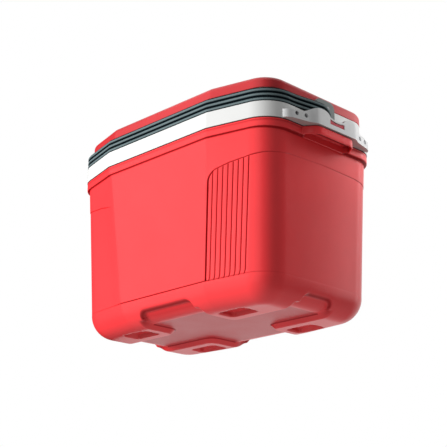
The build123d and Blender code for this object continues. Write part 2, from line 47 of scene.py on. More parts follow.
# Sizes, most of them the part's own: the ribs, the grips' straight length and the plug's gap differ.
# A plan is half length, half width, half of the front flat, the facet's drop and the corner's radius.
RIM_PLAN = (240.0, 160.9, 122.2, 29.9, 55.0)
COLLAR_PLAN = (239.4, 160.3, 122.2, 29.9, 54.5)
BODY_TOP_PLAN = (232.8, 157.4, 118.5, 28.0, 51.0)
BODY_FOOT_PLAN = (220.0, 139.3, 96.6, 12.6, 48.0)
BODY_TOP_Z = 274.7
COLLAR_TOP_Z = 289.4
RIM_TOP_Z = 317.3
LID_SEAM_Z = 345.5
LID_TOP_Z = 366.0
BOTTOM_RADIUS = 40.0
KINK_SOFT = 20.0

RECESS_DEPTH = 8.0
RECESS_HALF_X = 63.0
RECESS_HALF_Y = 36.5
RECESS_FLARE = 10.5
FOOT_CORNER = 22.0
NOTCH_TOP_Z = 22.0
NOTCH_ROUND = 15.0
NOTCH_BLEND = 7.0
CORE_BOTTOM_Z = 30.0
NOTCH_INSET = 8.0
POCKET_CENTRE = (115.5, 81.0)
POCKET_HALF = (29.5, 19.0)
POCKET_DEPTH = 8.0
POCKET_ROUND = 10.0

# A liner plan is half length, half width and the corner's radius
LINER_TOP_PLAN = (205.0, 125.0, 36.0)
LINER_FLOOR_PLAN = (190.0, 110.0, 30.0)
LID_INSET = 10.8
TRAY_INSET = 11.2
LID_BOTTOM_Z = 318.3
LID_TOP_ROUND = 10.0
LID_PANEL_INSET = 34.0
LID_PANEL_DEPTH = 1.6
PLUG_BOTTOM_Z = 298.0
PLUG_GAP = 6.5
GASKET_INSET = 25.0
GASKET_WIDTH = 5.0

HANDLE_THICK = 7.6
HANDLE_BOTTOM_Z = 317.9
HANDLE_HEIGHT = 22.9
RIB_HEIGHT = 5.2
RIB_PITCH = 7.9
RIB_PROUD = 1.8
FLARE_START_Y = -92.0
ARM_INNER_X = 240.9
ARM_OUTER_X = 247.9
ARM_BOTTOM_Z = 293.5
EAR_X = (232.2, 240.0)
EAR_HALF_WIDTH = 23.5
EAR_TOP_Z = 352.4
EAR_ROUND = 12.0

BRACKET_IN_X = 259.0
BRACKET_OUT_X = 264.0
BRACKET_BACK_X = 240.3
BRACKET_FLOOR = 2.4
BRACKET_FLAT_HALF = 44.0
BRACKET_BAY_HALF = 48.0
HUMP_PEAK = (37.0, 317.5)
SADDLE_HALF = 17.0
SADDLE_Z = (306.2, 309.6)
WING_TOP_Z = 303.5
WING_STEP_Y = (58.0, 64.0)
WING_TOP_Y = 84.0
WING_ROOT = (64.0, 257.0)
WING_TIP = (90.0, 251.5)
WING_END_Y = 107.0
WING_LEAN = (WING_TIP[1] - WING_ROOT[1]) / (WING_TIP[0] - WING_ROOT[0])
WINDOW_HALF = 18.0
WINDOW_Z = (297.5, 306.4)
WINDOW_DIP = 2.6
BUTTON_FIT = 0.35
SCREW_Y = (68.0, 86.0)
SCREW_Z = 299.0
SCREW_SEAT_DEPTH = 3.4
SCREW_WELL_RADIUS = 3.6
SCREW_HOLE_RADIUS = 2.05
GRIP_OUTER_X = 261.0
GRIP_FLAT_HALF = 34.0
GRIP_END_HALF = 61.0
HOLLOW_WALL_X = 233.2
HOLLOW_HALF = 52.0

# Relief of the walls
PANEL_LINE_Z = 42.3
SIDE_RECESS = 0.7
LOW_RECESS = 0.55
BORDER_ROUND = 16.0
GROOVES = 8
GROOVE_FIRST = 11.5
GROOVE_PITCH = 9.9
GROOVE_HOOK = 3.6
GROOVE_DEPTH = 1.45
RIDGE_Z = 230.0  # where the columns' places are read
WALL_FOOT_Z = 55.0


# Small maths
def ease(t, k=0.25):
    """0 to 1 with a straight middle and rounded ends, each k long."""
    t = np.clip(t, 0.0, 1.0)
    low = t * t / (2 * k)
    high = 1 - k - (1 - t) ** 2 / (2 * k)
    middle = t - k / 2
    out = np.where(t < k, low, np.where(t > 1 - k, high, middle))
    return out / (1 - k)


def bump(u):
    """A rounded groove profile: 1 at the middle, 0 from |u| = 1."""
    return np.where(np.abs(u) < 1, np.cos(np.clip(u, -1, 1) * math.pi / 2) ** 2, 0.0)


def corner_inside(px, py, radius):
    """Distance inside a corner at px = 0, py = 0 that is rounded by radius; negative outside."""
    qx, qy = radius - px, radius - py
    outside = np.hypot(np.maximum(qx, 0), np.maximum(qy, 0))
    return radius - outside - np.minimum(np.maximum(qx, qy), 0)


# Outlines
def lerp_plan(low, high, share):
    return [a + (b - a) * share for a, b in zip(low, high)]


def body_plan(z):
    return lerp_plan(BODY_FOOT_PLAN, BODY_TOP_PLAN, z / BODY_TOP_Z)


class Scheme:
    """How one quarter of an outline is divided: front flat, kink, facet with corner, and side.

    front(z, end), run(z, start, end) and side(z, start) give positions along each stretch.
    """

    def __init__(self, front, run, side, counts):
        self.front, self.run, self.side = front, run, side
        self.counts = (counts[0], KINK_COLUMNS, counts[1], counts[2])
        edges = np.cumsum((0,) + self.counts)
        self.slices = [slice(a, b) for a, b in zip(edges[:-1], edges[1:])]
        self.size = int(edges[-1])


KINK_COLUMNS = 5
SIDE_PLACE = 150.0  # the facet position at which the side begins
# Even divisions, for the rings with nothing cut into them
PLAIN = Scheme(
    lambda z, end: end * np.linspace(0, 1, 15)[:-1],
    lambda z, start, end: start + (end - start) * np.linspace(0, 1, 31)[1:],
    lambda z, start: start * np.linspace(1, 0, 13)[1:],
    (14, 30, 12),
)


def quarter(scheme, plan, inset, z):
    """Points, outward normals and facet positions of the front right quarter, one row per height."""
    plan = [np.broadcast_to(np.asarray(p, float), z.shape) for p in plan]
    inset = np.broadcast_to(np.asarray(inset, float), z.shape)
    xy, normal = np.zeros((2, *z.shape, 2))
    place = np.zeros(z.shape)
    for number, part in enumerate(scheme.slices):
        half_x, half_y, flat, drop, radius = [p[:, part] for p in plan]
        i, zs = inset[:, part], z[:, part]
        facet = np.arctan2(drop, half_x - flat)
        kink = flat - i * np.tan(facet / 2)
        front_y = -(half_y - i)
        soft = KINK_SOFT * np.tan(facet / 2)
        ux, uy = np.cos(facet), np.sin(facet)
        length = (half_x - i - kink) / ux
        r = np.maximum(radius - i, 1.0)
        tangent = r * np.tan((math.pi / 2 - facet) / 2)
        straight = length - tangent
        side_y = front_y + length * uy + tangent
        if number == 0:
            x = scheme.front(zs, kink - soft)
            y, out, at = front_y + 0 * x, (0.0, -1.0), x - kink
        elif number == 1:
            angle = facet * np.linspace(0, 1, KINK_COLUMNS)
            x = kink - soft + KINK_SOFT * np.sin(angle)
            y = front_y + KINK_SOFT * (1 - np.cos(angle))
            out, at = np.stack([np.sin(angle), -np.cos(angle)], -1), x - kink
        elif number == 2:
            at = scheme.run(zs, soft, straight + r * (math.pi / 2 - facet))
            angle = facet - math.pi / 2 + np.maximum(at - straight, 0) / r
            x = np.where(at <= straight, kink + ux * at, half_x - i - r + r * np.cos(angle))
            y = np.where(at <= straight, front_y + uy * at, side_y + r * np.sin(angle))
            out = np.stack([np.cos(angle), np.sin(angle)], -1)
        else:
            y = scheme.side(zs, side_y)
            x, out, at = half_x - i + 0 * y, (1.0, 0.0), SIDE_PLACE + (y - side_y)
        xy[:, part] = np.stack([x, y], -1)
        normal[:, part] = out
        place[:, part] = at
    return xy, normal, place


def with_height(xy, z):
    return np.concatenate([xy, z[..., None]], -1)


def quarter_rows(scheme, plan, rows):
    """Points of the quarter for rows that begin with an inset and a height."""
    table = np.array([row[:2] for row in rows], float)[..., None] * np.ones(scheme.size)
    inset, z = table[:, 0], table[:, 1]
    return with_height(quarter(scheme, plan, inset, z)[0], z)


def whole(a, b):
    """The full outline, or its marks, from the front right quarter and the front left (as if right)."""
    flip_x, flip_y = (np.array([-1.0, 1, 1]), np.array([1.0, -1, 1])) if a.ndim == 3 else (1, 1)
    return np.concatenate([a, (b * flip_y)[:, ::-1][:, 1:], (a * flip_x * flip_y)[:, 1:],
                           (b * flip_x)[:, ::-1][:, 1:-1]], 1)


def ring_rows(plan, rows):
    """Full plain outline rows for a list of (inset, z)."""
    points = quarter_rows(PLAIN, plan, rows)
    return whole(points, points)


# Meshes
def put(thing, **settings):
    """Sets the named properties."""
    for key, value in settings.items():
        setattr(thing, key, value)
    return thing


def add(name, data):
    """A new object in the scene."""
    thing = bpy.data.objects.new(name, data)
    bpy.context.scene.collection.objects.link(thing)
    return thing


def sided(stem, side):
    return stem + ("_right" if side > 0 else "_left")


def grid_faces(rows, columns, start=0, wrap=True, close_rows=False):
    """Quads of a grid whose rows run round the object."""
    faces = []
    for i in range(rows if close_rows else rows - 1):
        here, below = start + i * columns, start + (i + 1) % rows * columns
        for j in range(columns if wrap else columns - 1):
            k = (j + 1) % columns
            faces.append((here + j, below + j, below + k, here + k))
    return faces


def make_mesh(name, points, faces, marks=None, merge=None):
    """A mesh object from points in millimetres; marks say how deep in shade each point lies."""
    mesh = bpy.data.meshes.new(name)
    mesh.from_pydata((np.asarray(points, float).reshape(-1, 3) * MM).tolist(), [], faces)
    if marks is not None:
        attribute = mesh.attributes.new("line", "FLOAT", "POINT")
        attribute.data.foreach_set("value", np.asarray(marks, np.float32).ravel())
    work = bmesh.new()
    work.from_mesh(mesh)
    if merge:
        bmesh.ops.remove_doubles(work, verts=work.verts, dist=merge * MM)
    bmesh.ops.recalc_face_normals(work, faces=work.faces)
    work.to_mesh(mesh)
    work.free()
    mesh.shade_smooth()
    return add(name, mesh)


def give(piece, material, body, slot, *nodes):
    """Material, body, record slot (not used) and the CAD nodes that the piece stands for."""
    piece.data.materials.clear()
    piece.data.materials.append(material)
    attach(piece, body)
    if nodes:
        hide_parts(*nodes)
    return piece


def weighted(piece):
    put(piece.modifiers.new("normals", "WEIGHTED_NORMAL"), weight=60, keep_sharp=True)
    return piece


def bevelled(piece, width, segments=3, angle=35.0):
    """Rounds the piece's sharp edges."""
    put(piece.modifiers.new("rounding", "BEVEL"), width=width * MM, segments=segments,
        limit_method="ANGLE", angle_limit=math.radians(angle))
    return weighted(piece)


def tube(name, *stacks, marks=None, closed=False):
    """A solid swept through loops of equal length, or several of them in one mesh."""
    points, faces = [], []
    for loops in stacks:
        rows, columns = np.shape(loops)[:2]
        start = len(points)
        faces += grid_faces(rows, columns, start, close_rows=closed)
        if not closed:
            last = start + (rows - 1) * columns
            faces += [tuple(range(start, start + columns)), tuple(reversed(range(last, last + columns)))]
        points.extend(np.reshape(loops, (-1, 3)))
    return make_mesh(name, points, faces, marks)


def closed_stack(name, loops, first_z, last_z):
    """Rings from one end to the other, each end closed by a fan."""
    rows, columns = np.shape(loops)[:2]
    faces = grid_faces(rows, columns)
    tip, last = rows * columns, (rows - 1) * columns
    for j in range(columns):
        k = (j + 1) % columns
        faces += [(tip, j, k), (tip + 1, last + k, last + j)]
    points = np.concatenate([np.reshape(loops, (-1, 3)), [[0, 0, first_z], [0, 0, last_z]]])
    return make_mesh(name, points, faces)


# Outer shell: where its columns lie. A mark is a column's distance from its line's middle.
NEAR_EDGE = np.array([11.5, 9.0, 6.8, 4.8, 3.2, 2.0, 1.0, 0.4, 0.0])
FLANK = RECESS_FLARE * np.array([*np.arange(1, 11) / 10, 1.08, 1.2])


def fixed_columns(half, even, far):
    """Columns by distance from the middle, crowded at the recess's edge and down its flank."""
    return np.concatenate([np.linspace(0, half - 14, even), half - NEAR_EDGE, half + FLANK, far])


FRONT_FIXED = fixed_columns(RECESS_HALF_X, 13, [78.0, 80.5, 83.4, 86.0, 87.2, 87.8, 88.4, 89.2, 90.6])
SIDE_FIXED = fixed_columns(RECESS_HALF_Y, 8, [50.6, 53.5, 57.0, 60.2, 61.4, 62.0, 62.6, 63.6, 65.4])
BORDER_MARKS = np.array([-1.7, -1.1, -0.5, 0.1, 0.7, 1.3, 1.9, 2.6])
BETWEEN = 6
GROOVE_MARKS = np.array([-1.5, -0.95, -0.35, 0.35, 0.95, 1.5, 4.8])
FRONT_REST, FACET_REST, SIDE_REST = 3, 26, 5
GRID_MARGIN = 8.0  # from the corner's facet in to the grid of the base


def border_place(z):
    """How far the front panel's right border lies from the kink."""
    return 3.2 + 1.9 * np.maximum(z - 44.7, 0) / 155.0


def groove_place(z, k):
    """Each groove leans a little, and hooks towards the panel at its foot."""
    lean = (2.7 - 0.3 * k) * np.maximum(z - 42, 0) / 170.0
    hook = np.where(z > 40, ((50 - np.clip(z, 40, 50)) / 10) ** 2, np.clip((z - 22) / 18, 0, 1))
    return GROOVE_FIRST + GROOVE_PITCH * k + lean - GROOVE_HOOK * hook


def shell_front(z, end):
    last = FRONT_FIXED[-1]
    rest = last + (end[:, -FRONT_REST:] - last) * np.arange(1, FRONT_REST + 1) / (FRONT_REST + 1)
    return np.concatenate([np.tile(FRONT_FIXED, (len(z), 1)), rest], 1)


def shell_run(z, start, end):
    """Columns beside the border, between it and the first groove, round each groove, and beyond."""
    cuts = []
    for mark in BORDER_MARKS:
        cuts.append(border_place(z[:, len(cuts)]) + mark)
    for k in range(BETWEEN):
        here = z[:, len(cuts)]
        first, last = groove_place(here, 0) + GROOVE_MARKS[0], border_place(here) + BORDER_MARKS[-1]
        cuts.append(last + (first - last) * (k + 1) / (BETWEEN + 1))
    for k in range(GROOVES):
        for mark in GROOVE_MARKS:
            cuts.append(groove_place(z[:, len(cuts)], k) + mark)
    count = len(cuts)
    least = start[:, :count] + 0.15 * np.arange(1, count + 1).clip(0, 10)
    cuts = np.maximum(np.stack(cuts, 1), least)
    last = cuts[:, -1:]
    rest = last + (end[:, count:] - last) * (np.arange(1, FACET_REST + 1) / FACET_REST)
    return np.concatenate([cuts, rest], 1)


def shell_side(z, start):
    start = start[:, :SIDE_REST]
    rest = start + (-SIDE_FIXED[-1] - start) * (np.arange(1, SIDE_REST + 1) / (SIDE_REST + 1))
    return np.concatenate([rest, np.tile(-SIDE_FIXED[::-1], (len(z), 1))], 1)


SHELL = Scheme(shell_front, shell_run, shell_side, (
    len(FRONT_FIXED) + FRONT_REST,
    len(BORDER_MARKS) + BETWEEN + GROOVES * len(GROOVE_MARKS) + FACET_REST,
    SIDE_REST + len(SIDE_FIXED)))


def ridge_height(place):
    """The upper ridge of the side relief: it climbs from the kink to the middle of the side."""
    at = [-200, 0, 20, 45, 75, 110, 150, 157, 237]
    height = [214, 215.5, 220, 225.5, 229, 233.5, 236.8, 237.6, 240]
    return np.interp(place, at, height)


def recess_slope(inside):
    """0 on the base recess's ceiling, 1 on a foot, by the distance inside the foot's outline."""
    return ease(inside / RECESS_FLARE, 0.22)


def recess_share(x, y):
    """1 on the base recess's ceiling, 0 on the feet, sloping between them."""
    inside = corner_inside(np.abs(x) - RECESS_HALF_X, np.abs(y) - RECESS_HALF_Y, FOOT_CORNER)
    return 1 - recess_slope(inside)


def pocket_share(x, y):
    """1 inside a foot's pocket, 0 outside it."""
    inside = [half - np.abs(np.abs(v) - middle)
              for v, middle, half in zip((x, y), POCKET_CENTRE, POCKET_HALF)]
    return ease(corner_inside(*inside, POCKET_ROUND) / 2.2, 0.3)


def wall_relief(place, z, ridge, grooved):
    """Depth of the wall's relief, and how deep in shade each point lies in a line cut into it."""
    below, above = ridge - z, z - PANEL_LINE_Z
    if grooved:
        across = place - border_place(z)
        inside = corner_inside(across, below, BORDER_ROUND)
        heavy = np.clip(1 - across / 18, 0, 1) * np.clip(below / 5, 0, 1)
        line = bump((inside - 0.25) / (1.25 + 0.45 * heavy)) * (0.95 + 0.75 * heavy)
        # Painted shade in and beside the border line
        painted_shade = (0.9 + 1.3 * heavy) * bump((inside - 0.25) / (1.25 + 0.7 * heavy))
        share = ease((inside + 0.6) / 1.6)
        fade = np.interp(place, [85, 135, 237], [1.0, 0.35, 0.15])
        low_fade = np.interp(place, [0, 60, 95, 120, 237], [0.8, 0.6, 0.4, 0.1, 0.0])
    else:
        start = ease((place - 4) / 26)
        line = bump((below - 0.25) / 1.15) * 0.9 * start
        painted_shade = line / 1.1
        share = ease((below + 0.6) / 1.6) * start
        fade = np.interp(place, [80, 150, 190, 237], [1.0, 0.65, 0.5, 0.15])
        low_fade = np.interp(place, [0, 14, 60, 110, 237], [0.75, 0.45, 0.35, 0.1, 0.0])
    on_run = place > -3
    fade = np.where(on_run & (above > 0), fade, 0.0)
    line, painted_shade = line * fade, painted_shade * fade
    if grooved:
        reach = ease((below - 0.2) / 1.5) * ease((z - 40.5) / 1.5) * on_run
        for k in range(GROOVES):
            across = place - groove_place(z, k)
            line = np.maximum(line, GROOVE_DEPTH * bump(across / 1.2) * reach)
            painted_shade = np.maximum(painted_shade, 1.4 * bump(across / 1.55) * reach)
    low_share = ease((0.6 - above) / 1.2)
    depth = np.where(on_run, SIDE_RECESS * share, 0.0) * (1 - low_share) + LOW_RECESS * low_share
    low_line = bump(above / 1.3) * np.where(place < 0, 0.95, low_fade)
    # The second value is painted shade: in the border, the grooves, the ridge line and the panel's lower
    # line
    return depth + np.maximum(line, low_line), np.clip(np.maximum(painted_shade, 1.3 * low_line), 0, 1)


def shell_quarter(grooved):
    """One quarter of the shell from its collar down to the edge of the flat base, and its shade."""
    ones = np.ones((1, SHELL.size))
    blocks, marks = [], []

    def plain(plan, rows, hollow=False, shade=(), behind_grip=1.0):
        """Rows of (inset, z), or of (inset, z, depth of the hollow behind a grip)."""
        points = quarter_rows(SHELL, plan, rows)
        x, y = points[..., 0], points[..., 1]
        if hollow:
            inward = ease((HOLLOW_HALF + 0.7 - np.abs(y)) / 1.4) * (x > HOLLOW_WALL_X)
            x -= (x - HOLLOW_WALL_X) * inward * np.array([row[2] for row in rows])[:, None]
        blocks.append(points)
        dark = np.zeros(len(rows))
        dark[:len(shade)] = shade
        covered = ease((HOLLOW_HALF - np.abs(y)) / 4) * (x > HOLLOW_WALL_X - 2)
        marks.append(dark[:, None] * (1 - covered * (1 - behind_grip)))

    top, low, ceiling = COLLAR_TOP_Z - 0.2, BODY_TOP_Z, COLLAR_TOP_Z - 3
    for inset, z in ((5.0, CORE_BOTTOM_Z), (3.6, 45), (3.2, 60), (3.2, 262)):
        plain(body_plan(z), [(inset, z)])
    plain(COLLAR_PLAN, [(7, 276), (7, 287), (5, 287.2), (5, top), (1.2, top), (0.45, top - 0.25),
                        (0.1, top - 0.7), (0, top - 1.3), (0, 287)], shade=(0, 0, 0, 1, 1, 1, 0.7))
    collar = [(0, ceiling + 0.05, 0), (0, ceiling, 0.1), (0, ceiling, 0.92), (0, ceiling - 0.3, 1.0),
              (0, 284.5, 1), (0, 282, 1), (0, 279, 1), (0, low + 2.2, 1), (0.12, low + 1.3, 1),
              (0.5, low + 0.55, 1), (1.2, low + 0.1, 1), (2.0, low, 1)]
    plain(COLLAR_PLAN, collar, hollow=True, shade=(0, 0.3, 0.5, 0.6, 0.3, 0, 0, 0, 0, 0.2, 0.7, 0.9),
          behind_grip=0.3)
    plain(body_plan(low), [(-0.25, low + 0.05), (0.0, low - 0.15), (0.3, low - 0.8), (0.35, low - 1.8),
                           (0.1, low - 3)], shade=(0.9, 0.9, 0.8, 0.4), behind_grip=0.0)

    # The wall: rows crowd round the ridge and the panel's lower line
    ridge = ridge_height(quarter(SHELL, body_plan(RIDGE_Z * ones), 0, RIDGE_Z * ones)[2])
    heights = [ridge + (low - ridge) * share for share in (0.88, 0.72, 0.56, 0.42, 0.3, 0.2, 0.12)]
    heights += [ridge + step for step in (
        2.6, 1.9, 1.3, 0.8, 0.35, -0.1, -0.55, -1.0, -1.5, -2.1, -2.8, -3.6, -4.5, -5.5, -6.6, -7.8,
        -9.2, -10.8, -12.6, -14.2, -16)]
    heights += [WALL_FOOT_Z + (ridge - 16 - WALL_FOOT_Z) * tenth / 10 for tenth in range(9, 0, -1)]
    heights += [z * ones for z in (
        WALL_FOOT_Z, 52, 50, 48.5, 47, 45.6, 44.6, 43.9, 43.4, 42.9, 42.4, 41.9, 41.4, 40.9, 40.3)]
    z = np.concatenate(heights)
    xy, normal, place = quarter(SHELL, body_plan(z), 0, z)
    depth, line = wall_relief(place, z, np.broadcast_to(ridge, z.shape), grooved)
    blocks.append(with_height(xy - normal * depth[..., None], z))
    marks.append(line)

    # The rounded foot of the wall, and the notches that the base recess cuts into it
    levels = np.array([
        39.4, 38, 36, 33.5, 31, 28.5, 26.2, 24.4, 23.2, 22.4, 21.8, 21.3, 20.9, 20.5, 20.0, 19.3, 18.3,
        17, 15.5, 14, 12.5, 11, 9.7, 8.4, 7.1, 5.9, 4.8, 3.8, 2.9, 2.1, 1.45, 0.9, 0.5, 0.22, 0.06, 0.0])
    z = levels[:, None] * ones
    inset = BOTTOM_RADIUS - np.sqrt(BOTTOM_RADIUS ** 2 - (BOTTOM_RADIUS - z) ** 2)
    plan = body_plan(z)
    xy, normal, _ = quarter(SHELL, plan, inset, z)
    outer = with_height(xy - normal * (LOW_RECESS * np.clip(z / 20, 0, 1))[..., None], z)
    inner_z = np.maximum(RECESS_DEPTH + (NOTCH_TOP_Z - RECESS_DEPTH) * np.clip(z / NOTCH_TOP_Z, 0, 1), z)
    radius = BOTTOM_RADIUS - NOTCH_INSET
    drop = np.clip(RECESS_DEPTH + radius - inner_z, 0, radius)
    inner_inset = NOTCH_INSET + radius - np.sqrt(radius ** 2 - drop ** 2)
    inner = with_height(quarter(SHELL, plan, inner_inset, z)[0], inner_z)
    x, y = outer[..., 0], outer[..., 1]
    front, side = SHELL.slices[0], SHELL.slices[3]
    past_x, past_y = np.abs(x) - RECESS_HALF_X, np.abs(y) - RECESS_HALF_Y
    share = np.zeros(z.shape)
    share[:, front] = 1 - recess_slope(past_x[:, front])
    share[:, side] = 1 - recess_slope(past_y[:, side])
    along = np.where(np.arange(SHELL.size) < SHELL.slices[1].stop, past_x, past_y)
    turn = np.clip(along + NOTCH_ROUND, 0, NOTCH_ROUND)
    round_top = NOTCH_ROUND - np.sqrt(NOTCH_ROUND ** 2 - turn ** 2)
    share = share * ease((NOTCH_TOP_Z - round_top - z) / NOTCH_BLEND + 0.5, 0.3)
    points = outer + (inner - outer) * share[..., None]
    points[..., 2] += POCKET_DEPTH * pocket_share(x, y) * (z < 3)
    blocks.append(points)
    # Painted shade on the notches' front faces and in the crease at their top
    face = np.zeros(z.shape)
    face[:, front] = (0.42 * share * np.clip((z - 3) / 8, 0, 1))[:, front]
    marks.append(np.maximum(3.2 * share * (1 - share) * np.clip(z / 10, 0, 1), face))
    return np.concatenate(blocks), np.concatenate(marks)


def base_surface(x, y):
    """The base's points, and the shade in the crease round the recess's ceiling and in the pockets."""
    share, pocket = recess_share(x, y), pocket_share(x, y)
    points = np.stack([x, y, RECESS_DEPTH * share + POCKET_DEPTH * pocket], -1)
    return points, np.maximum(bump((share - 0.93) / 0.13), pocket * (0.1 + 1.3 * (1 - pocket)))


def make_shell():
    """The red body, in one skin."""
    (a, line_a), (b, line_b) = shell_quarter(True), shell_quarter(False)
    ground = np.zeros((1, SHELL.size))
    edge = quarter(SHELL, body_plan(ground), BOTTOM_RADIUS, ground)[0][0]
    # The base's middle is a rectangular grid, whose columns and rows carry on from the rings'
    run, start = SHELL.slices[2], SHELL.slices[1].start
    corner = run.start + int(np.argmin(np.hypot(edge[run, 0] - edge[-1, 0], edge[run, 1] - edge[0, 1])))
    box_x, box_y = edge[corner, 0] - GRID_MARGIN, -edge[corner, 1] - GRID_MARGIN
    xs = edge[:corner + 1, 0].copy()
    xs[start:] = xs[start] + (xs[start:] - xs[start]) * (box_x - xs[start]) / (xs[-1] - xs[start])
    ys = -edge[corner:, 1].copy()
    keep = len(ys) - (SHELL.counts[3] - SIDE_REST)
    ys[:keep] = ys[keep] + (ys[:keep] - ys[keep]) * (box_y - ys[keep]) / (ys[0] - ys[keep])
    box = np.concatenate([np.stack([xs, 0 * xs - box_y], -1),
                          np.stack([0 * ys[1:] + box_x, -ys[1:]], -1)])
    xy = np.stack([edge + (box - edge) * t for t in (0.12, 0.28, 0.46, 0.64, 0.82, 1.0)])
    rows, row_marks = base_surface(xy[..., 0], xy[..., 1])
    rings = np.concatenate([whole(a, b), whole(rows, rows)])
    lines = np.concatenate([whole(line_a, line_b), whole(row_marks, row_marks)])
    count, columns = rings.shape[:2]
    inner, inner_marks = base_surface(
        *np.meshgrid(np.concatenate([-xs[::-1], xs[1:]]), np.concatenate([-ys, ys[::-1][1:]])))
    points = np.concatenate([rings.reshape(-1, 3), inner.reshape(-1, 3), [[0, 0, CORE_BOTTOM_Z]]])
    marks = np.concatenate([lines.ravel(), inner_marks.ravel(), [0.0]])
    faces = grid_faces(count, columns) + grid_faces(*inner_marks.shape, count * columns, wrap=False)
    faces += [(len(points) - 1, j, (j + 1) % columns) for j in range(columns)]
    return make_mesh("shell", points, faces, marks, merge=0.02)


# Grips
def bezier(points, count):
    t = np.linspace(0, 1, count)[:, None]
    p = np.array(points, float)
    first, last = (1 - t) ** 3 * p[0], t ** 3 * p[3]
    return first + 3 * (1 - t) ** 2 * t * p[1] + 3 * (1 - t) * t ** 2 * p[2] + last


def on_curve(at, points, count=40):
    """The second coordinate where the first is at, along a curve that only climbs in the first."""
    curve = bezier(points, count)
    return float(np.interp(at, curve[:, 0], curve[:, 1]))


def grip_line():
    """The grip's outside seen from above, from its front end to its back end."""
    root, outer = COLLAR_PLAN[0] - 0.4, GRIP_OUTER_X
    flat, end = GRIP_FLAT_HALF, GRIP_END_HALF
    back = bezier([(outer, flat), (outer, flat + 16), (root + 10, end - 11), (root, end)], 28)
    straight = np.stack([np.full(21, outer), np.linspace(-flat, flat, 21)], -1)[1:-1]
    return np.concatenate([back[::-1] * (1, -1), straight, back])


def make_grip(side):
    """The bar that stands off the collar, with a hollow behind it for the fingers."""
    line = grip_line()
    along = np.gradient(line, axis=0)
    along /= np.linalg.norm(along, axis=1)[:, None]
    root = COLLAR_PLAN[0] - 1.5
    low, top, ceiling = BODY_TOP_Z, COLLAR_TOP_Z - 0.25, COLLAR_TOP_Z - 3.1
    section = [(2.4, top), (1.2, top - 0.15), (0.5, top - 0.5), (0.12, top - 1.1), (0, top - 2),
               (0, 283), (0, 279), (0, low + 2.0), (0.15, low + 1.1), (0.55, low + 0.45),
               (1.3, low + 0.05), (2.0, low + 0.1), (2.6, low + 0.5), (2.9, low + 1.2),
               (3.0, low + 3), (3.1, ceiling - 3), (3.4, ceiling - 1.2), (4.2, ceiling - 0.2),
               (5.4, ceiling)]
    loops = []
    for (x, y), (ahead_x, ahead_y) in zip(line, along):
        bar = [(max(x - ahead_y * inset, root), y + ahead_x * inset, z) for inset, z in section]
        loops.append([(root, y, top), *bar, (root, y, ceiling)])
    shade = np.array([1, 1, 1, 1, 0.6] + [0] * 9 + [0.3, 0.55, 0.75, 0.85, 0.9, 0.95, 1.0]) * 0.9
    return tube(sided("grip", side), np.array(loops) * (side, 1, 1), marks=np.tile(shade, len(loops)))


# Rim and lid
def rounded_rectangle(guide, plan, grow, z):
    """A liner plan grown all round, its points in the same directions from the centre as the guide's."""
    half_x, half_y, radius = (size + grow for size in plan)
    cx, cy = half_x - radius, half_y - radius
    ring = []
    for x, y, _ in guide:
        length = math.hypot(x, y)
        dx, dy = abs(x) / length, abs(y) / length
        if dy * half_x <= cy * dx:
            reach = half_x / dx
        elif dx * half_y <= cx * dy:
            reach = half_y / dy
        else:
            along = dx * cx + dy * cy
            reach = along + math.sqrt(along ** 2 - cx ** 2 - cy ** 2 + radius ** 2)
        ring.append((math.copysign(reach * dx, x), math.copysign(reach * dy, y), z))
    return ring


def make_rim():
    """The white band round the box's top."""
    low, top = COLLAR_TOP_Z + 0.1, RIM_TOP_Z
    profile = [(14, low + 6), (3.5, low + 6), (3.2, low), (0.9, low), (0.3, low + 0.2),
               (0.05, low + 0.6), (0, low + 1.2), (0, 297), (0, 304), (0, 311), (0, top - 1.6),
               (0.08, top - 1.0), (0.4, top - 0.45), (0.95, top - 0.08), (1.6, top), (4, top), (9, top),
               (16, top)]
    outer = ring_rows(RIM_PLAN, profile)
    mouth = [rounded_rectangle(outer[-1], LINER_TOP_PLAN, grow, z) for grow, z in (
        (4.6, top), (3.6, top - 0.1), (2.9, top - 0.5), (2.6, top - 1.2), (2.6, top - 6))]
    loops = np.concatenate([outer, mouth])
    # Painted shade along the band's lower edge, at its seam with the collar
    shade = np.zeros(loops.shape[:2])
    shade[2:6] = np.array([1, 1, 1, 0.75])[:, None]
    return tube("rim_band", loops, marks=shade, closed=True)


def make_core():
    """The foam between the shell and the liner."""
    bottom = CORE_BOTTOM_Z + 0.4
    rings = [ring_rows(body_plan(z), [(inset, z)])[0]
             for inset, z in ((60, bottom), (6.5, bottom), (4.1, 45), (3.7, 60), (3.7, 262))]
    rings += list(ring_rows(COLLAR_PLAN, [(7.5, 275.5), (7.5, 288.5), (15, 288.5)]))
    guide = rings[-1]
    floor = 48
    for grow, z in ((2.8, 288.5), (2.8, 60), (1.0, floor), (-6.0, 45.2)):
        share = max(z - floor, 0) / (RIM_TOP_Z - floor)
        plan = lerp_plan(LINER_FLOOR_PLAN, LINER_TOP_PLAN, share)
        rings.append(rounded_rectangle(guide, plan, grow, z))
    return closed_stack("foam_core", rings, bottom, 45.2)


def make_ear(side):
    """A broad ear with rounded shoulders that carries the handle's pivot."""
    half, shoulder = EAR_HALF_WIDTH, EAR_TOP_Z - EAR_ROUND
    back = [(half, z) for z in (316.5, 322, 328, 334)]
    back += [(half - EAR_ROUND + EAR_ROUND * math.cos(a), shoulder + EAR_ROUND * math.sin(a))
             for a in np.linspace(0, math.pi / 2, 13)]
    outline = back + [(4.0, EAR_TOP_Z), (-4.0, EAR_TOP_Z)] + [(-y, z) for y, z in reversed(back)]
    loops = [[(side * x, y, z) for y, z in outline] for x in (EAR_X[0] + 0.1, EAR_X[1] - 0.1)]
    return bevelled(tube(sided("ear", side), loops), 0.9)


